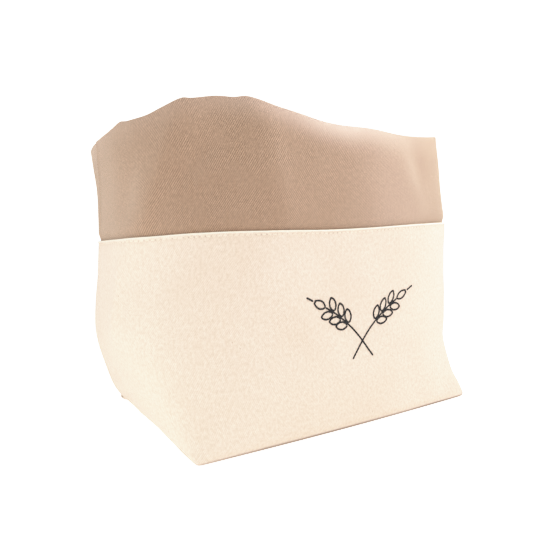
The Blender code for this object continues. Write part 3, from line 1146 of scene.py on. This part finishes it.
creamLook = {
    "light": (0.912, 0.742, 0.634, 1.0),
    "dark": (0.862, 0.688, 0.575, 1.0),
    "slubColour": (0.93, 0.80, 0.70, 1.0),
    "slub": 0.5,
    "grooveColour": (0.60, 0.48, 0.37, 1.0),
    "groove": 0.72,
    "faint": 0.16,
    "grain": 0.62,
    "cloudScale": 22.0,
    "fleckColour": (0.38, 0.27, 0.17, 1.0),
    "fleckScale": 240.0,
    "fleckStretch": (1.0, 0.75, 1.0),
    "fleckSize": (0.03, 0.10),
    "fleckChoice": (0.80, 0.95),
    "fleck": 0.65,
    # painted shade on the upper part of the cream
    "upperColour": (0.62, 0.40, 0.36, 1.0),
    "upperReach": (-105 * mm, -15 * mm),
    "upperShare": 0.08,
    # painted highlight along the folded top edge
    "edgeColour": (0.95, 0.87, 0.74, 1.0),
    "edgeReach": (-0.30 * mm, 0.25 * mm),
    "edgeShare": 0.85,
    "holeColour": (0.47, 0.36, 0.30, 1.0),
    "paintedLightColour": (0.24, 0.16, 0.10, 1.0),    # painted contact shadow, a brown line along the floor
    "roughness": 0.92,
    "sheen": 0.2,
    "sheenTint": (1.0, 0.97, 0.92, 1.0),
    "bump": 0.6,
}

tanLook = {
    "light": (0.595, 0.370, 0.246, 1.0),
    "dark": (0.543, 0.331, 0.214, 1.0),
    "slubColour": (0.66, 0.44, 0.31, 1.0),
    "slub": 0.5,
    "grooveColour": (0.14, 0.079, 0.047, 1.0),
    "groove": 1.0,
    "faint": 0.30,
    "grain": 0.34,
    "paintedLightColour": (0.67, 0.51, 0.435, 1.0),   # painted highlight: pale rim, and painted light right of the middle
    "cloudScale": 25.0,
    "roughness": 0.92,
    "sheen": 0.6,
    "sheenTint": (1.0, 0.88, 0.74, 1.0),
    "bump": 0.8,
}

threadLook = {
    "creamThread": {"colour": (0.74, 0.62, 0.51, 1.0), "roughness": 0.8, "sheen": 0.1},
    "blackThread": {"colour": (0.012, 0.011, 0.012, 1.0), "roughness": 0.6, "sheen": 0.05},
}

threadFibre = {
    "scale": 3800.0,
    "range": (0.35, 0.65),
    "paler": 1.25,            # the fibres on top are paler: times this, and a little more
    "added": 0.006,
    "specular": 0.18,
    "relief": 0.08 * mm,
    "bump": 0.7,
}


def threadMaterial(name):
    look = threadLook[name]
    recipe = Recipe(name, look["roughness"])
    place = recipe.nodes.new("ShaderNodeTexCoord").outputs["Object"]
    grain = recipe.noise(place, threadFibre["scale"], 3.0)
    paler, added = threadFibre["paler"], threadFibre["added"]
    light = tuple(min(value * paler + added, 1.0) for value in look["colour"][:3]) + (1.0,)
    tone = recipe.mix(recipe.rescale(grain, *threadFibre["range"]), look["colour"], light)
    recipe.feed(recipe.shader.inputs["Base Color"], tone)
    recipe.shader.inputs["Sheen Weight"].default_value = look["sheen"]
    recipe.shader.inputs["Specular IOR Level"].default_value = threadFibre["specular"]
    recipe.bump(grain, threadFibre["relief"], threadFibre["bump"])
    return recipe.material


# stage and light
studio = {
    "floorColour": (0.90, 0.90, 0.90, 1.0),
    "floorGlow": 0.42,
    "floorShown": 0.5,        # added only where the floor itself is seen
    "floorSize": 12.0,
    "floorLevel": -0.02 * mm,
    "brightSide": 0.90,       # surround far from the viewer's side
    "dimSide": 0.79,
    "dimTowards": (-0.50, -0.86, -0.10),
    "dimStart": -0.4,
    "surroundShown": 1.5,
    "lightsAim": (0.0, 0.0, 0.09),
    # name: position, size, watts, colour
    "lights": {
        "rightSoftLight": ((0.23, -0.28, 0.36), 0.20, 0.74, (0.93, 1.0, 1.02)),
        "rimSoftLight": ((0.08, -0.12, 0.42), 0.14, 0.30, (1.0, 1.0, 1.0)),
        "lowSoftLight": ((-0.34, -0.15, 0.04), 0.16, 0.23, (0.88, 1.0, 0.98)),
        "leftSoftLight": ((-0.75, 0.10, 0.35), 0.5, 0.55, (0.88, 1.0, 0.96)),
    },
    # soft shoulder of the exposure, light in and light out
    "toneCurve": ((0.25, 0.25), (0.5, 0.5), (0.8, 0.81), (0.95, 0.925), (1.1, 0.968), (1.4, 1.0)),
}


def makeStage():
    mesh = bpy.data.meshes.new("studioFloor")
    reach, level = studio["floorSize"], studio["floorLevel"]
    corners = [(x * reach, y * reach, level) for x, y in ((-1, -1), (1, -1), (1, 1), (-1, 1))]
    mesh.from_pydata(corners, [], [(0, 1, 2, 3)])
    floorRecipe = Recipe("paleFloor", 0.8)
    floorRecipe.shader.inputs["Base Color"].default_value = studio["floorColour"]
    floorRecipe.shader.inputs["Emission Color"].default_value = studio["floorColour"]
    seen = floorRecipe.nodes.new("ShaderNodeLightPath").outputs["Is Camera Ray"]
    glow = floorRecipe.math("MULTIPLY_ADD", seen, studio["floorShown"], studio["floorGlow"])
    floorRecipe.feed(floorRecipe.shader.inputs["Emission Strength"], glow)
    mesh.materials.append(floorRecipe.material)
    floor = addObject("studioFloor", mesh)


def makeLights():
    world = bpy.data.worlds.new("studioSurround")
    bpy.context.scene.world = world
    world.use_nodes = True
    nodes, links = world.node_tree.nodes, world.node_tree.links
    nodes.clear()
    output = nodes.new("ShaderNodeOutputWorld")
    blend = nodes.new("ShaderNodeMixShader")
    path = nodes.new("ShaderNodeLightPath")
    lit, seen = nodes.new("ShaderNodeBackground"), nodes.new("ShaderNodeBackground")
    seen.inputs["Strength"].default_value = studio["surroundShown"]
    direction = nodes.new("ShaderNodeTexCoord")
    towards = nodes.new("ShaderNodeVectorMath")
    towards.operation = "DOT_PRODUCT"
    towards.inputs[1].default_value = studio["dimTowards"]
    links.new(direction.outputs["Generated"], towards.inputs[0])
    level = nodes.new("ShaderNodeMapRange")
    level.interpolation_type = "SMOOTHSTEP"
    for key, number in (("From Min", studio["dimStart"]), ("From Max", 1.0),
                        ("To Min", studio["brightSide"]), ("To Max", studio["dimSide"])):
        level.inputs[key].default_value = number
    links.new(towards.outputs["Value"], level.inputs["Value"])
    links.new(level.outputs["Result"], lit.inputs["Strength"])
    for background in (lit, seen):
        background.inputs["Color"].default_value = (1.0, 1.0, 1.0, 1.0)
    links.new(path.outputs["Is Camera Ray"], blend.inputs["Fac"])
    links.new(lit.outputs[0], blend.inputs[1])
    links.new(seen.outputs[0], blend.inputs[2])
    links.new(blend.outputs[0], output.inputs["Surface"])
    for name, (position, size, watts, colour) in studio["lights"].items():
        data = bpy.data.lights.new(name, "AREA")
        data.size = size
        data.energy = watts
        data.color = colour
        lamp = addObject(name, data)
        lamp.location = position
        toBag = Vector(studio["lightsAim"]) - Vector(position)
        lamp.rotation_euler = toBag.to_track_quat("-Z", "Y").to_euler()
        lamp.visible_camera = False


def setTone():
    view = bpy.context.scene.view_settings
    view.view_transform = "Standard"
    view.use_curve_mapping = True
    mapping = view.curve_mapping
    brightest = studio["toneCurve"][-1][0]
    mapping.white_level = (brightest, brightest, brightest)
    curve = mapping.curves[3]
    for lightIn, lightOut in studio["toneCurve"][:-1]:
        curve.points.new(lightIn / brightest, lightOut)
    mapping.update()


def placePiece(piece, slot, *nodes):
    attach(piece, bodyName)
    if nodes:
        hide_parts(*nodes)
    return piece


def makeBag():
    cream = clothMaterial("creamTwill", creamLook)
    tan = clothMaterial("tanTwill", tanLook)
    creamThread = threadMaterial("creamThread")
    blackThread = threadMaterial("blackThread")
    print("bag: materials ready")
    for side in ("front", "back"):
        panel = placePiece(makeCreamPanel(side, cream), "cream_twill", f"cream_{side}_panel")
        band = placePiece(makeBand(side, tan), "tan_twill", f"tan_band_{side}")
        outside = placePiece(makeTopstitch(side, creamThread), "cream_twill")
        inside = placePiece(makeTopstitch(side, creamThread, inside=True), "cream_twill")
        if side == "front":
            placePiece(makeEmbroidery(blackThread), "cream_twill")
        print("bag:", side, "cloth sewn")


makeCamera()
makeBag()
makeStage()
makeLights()
setTone()

print("bag: done")
